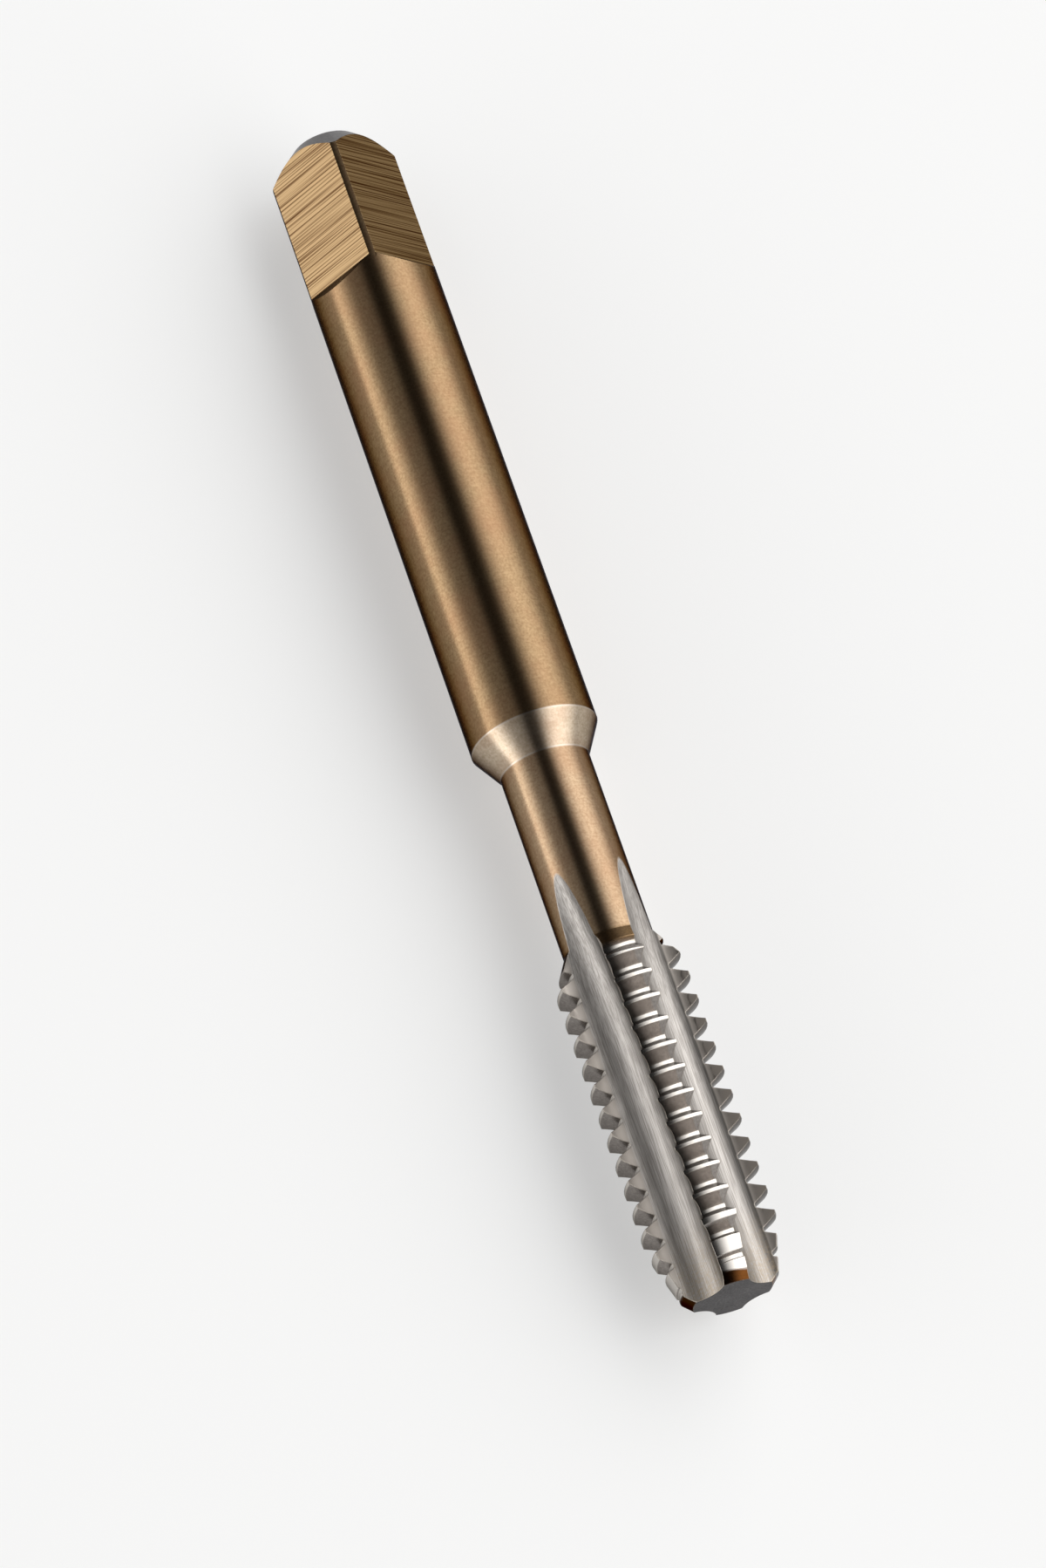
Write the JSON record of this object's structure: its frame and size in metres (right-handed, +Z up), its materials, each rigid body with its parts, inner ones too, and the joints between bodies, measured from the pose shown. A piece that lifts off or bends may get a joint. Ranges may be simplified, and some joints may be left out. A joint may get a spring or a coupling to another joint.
{
  "type": "thread tap",
  "caption": "Straight-flute hand tap of high-speed steel: a threaded cutting head on a slim neck, a round shank and a driving square.",
  "frame": {"origin": "on the surface that the tap lies on, under the middle of its length", "axes": "+X along the tap from its driving square to its cutting tip, +Z up"},
  "size_m": [0.0644, 0.0064, 0.0064],
  "materials": {
    "steel": "satin bronze oxide on the shank and neck, bright ground steel on the flutes and thread"
  },
  "bodies": {
    "root": {"thread_tap": "steel"}
  },
  "joints": []
}
